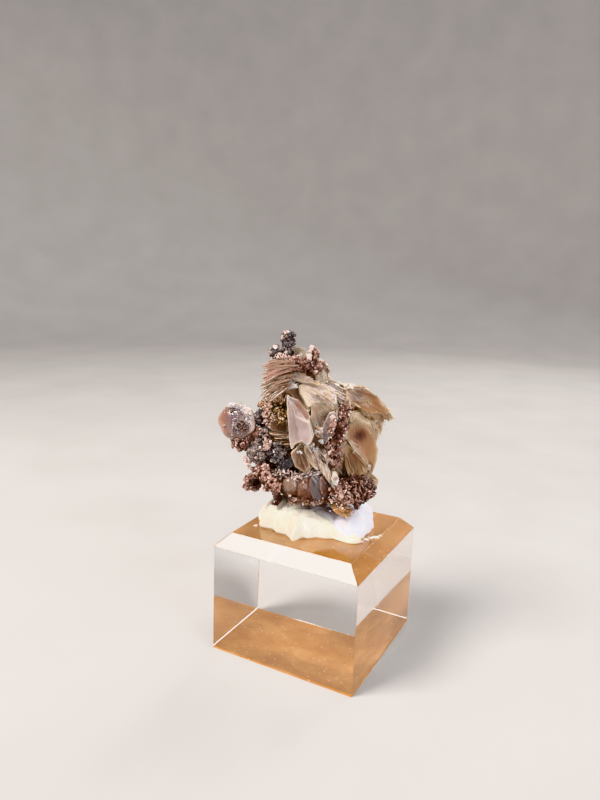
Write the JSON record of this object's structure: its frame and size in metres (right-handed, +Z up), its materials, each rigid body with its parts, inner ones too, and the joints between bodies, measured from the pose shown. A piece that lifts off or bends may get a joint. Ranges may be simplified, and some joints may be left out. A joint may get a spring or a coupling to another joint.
{
  "type": "calcite specimen",
  "caption": "Mineral display piece: a cluster of honey-brown calcite plates with copper-red and black crusts, held in white tack on a clear bevelled block.",
  "frame": {"origin": "middle of the underside of the block's film, where the piece stands", "axes": "+Z up, +X and +Y along the block's sides; the specimen's show side looks between -Y and +X, 25.5 degrees from -Y"},
  "size_m": [0.0346, 0.0318, 0.0663],
  "materials": {
    "tan_film": "smooth tan film with fine specks, bonded to the block's underside",
    "clear_acrylic": "clear polished acrylic",
    "honey_calcite": "translucent honey-brown calcite, glassy with paler rims",
    "pearly_calcite": "pale lilac-pink calcite with a pearly sheen",
    "shell_calcite": "ribbed grey, pink and brown calcite",
    "pink_calcite": "glossy pink-orange calcite with white frosting",
    "yellow_calcite": "translucent honey-yellow calcite",
    "copper_crust": "sparkling copper-red crust with pink-white grains",
    "black_crust": "black crust with glittering crystal faces",
    "gold_green_crust": "gold, green and black grains",
    "white_tack": "soft white putty, smooth with fold creases"
  },
  "bodies": {
    "root": {"underside_film": "tan_film", "acrylic_block": "clear_acrylic", "calcite_heart": "honey_calcite", "calcite_right_wing": "honey_calcite", "calcite_crown": "honey_calcite", "pearly_blade": "pearly_calcite", "calcite_lower_shell": "shell_calcite", "calcite_left_lens": "pink_calcite", "calcite_foot_chip": "yellow_calcite", "copper_lens_crust": "copper_crust", "black_left_crust": "black_crust", "black_crown_finger": "black_crust", "black_back_crust": "black_crust", "gold_green_patch": "gold_green_crust", "copper_ridge": "copper_crust", "copper_crown_crust": "copper_crust", "copper_base_crust": "copper_crust", "mineral_tack": "white_tack"}
  },
  "joints": []
}
